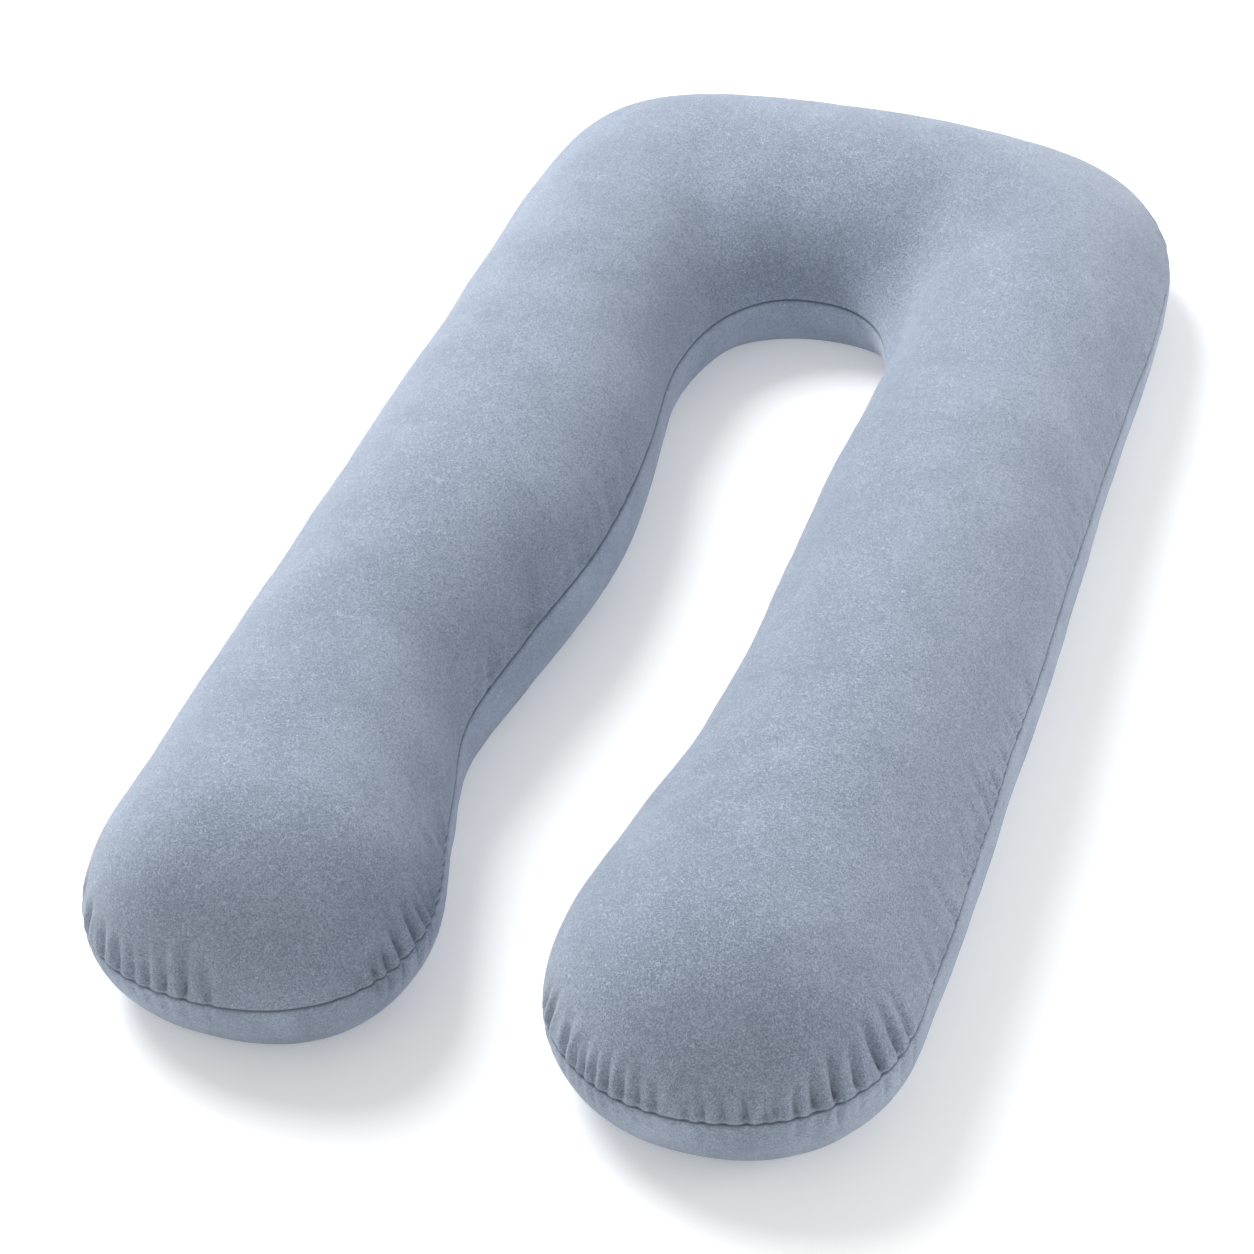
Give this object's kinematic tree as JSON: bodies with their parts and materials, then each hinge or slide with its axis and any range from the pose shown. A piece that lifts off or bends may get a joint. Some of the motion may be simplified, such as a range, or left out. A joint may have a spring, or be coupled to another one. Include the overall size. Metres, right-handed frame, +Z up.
{
  "type": "pregnancy pillow",
  "caption": "U-shaped stuffed body pillow in greyish blue short-pile velvet, with gathered leg ends, for resting on in pregnancy.",
  "frame": {"origin": "under the middle of the pillow's plan, on the surface it lies on", "axes": "+Z up, +Y from the leg ends to the head, +X across the legs"},
  "size_m": [0.7472, 1.4468, 0.205],
  "materials": {
    "velvet": "short-pile velvet, soft sheen at grazing angles"
  },
  "bodies": {
    "root": {"pillow": "velvet"}
  },
  "joints": []
}
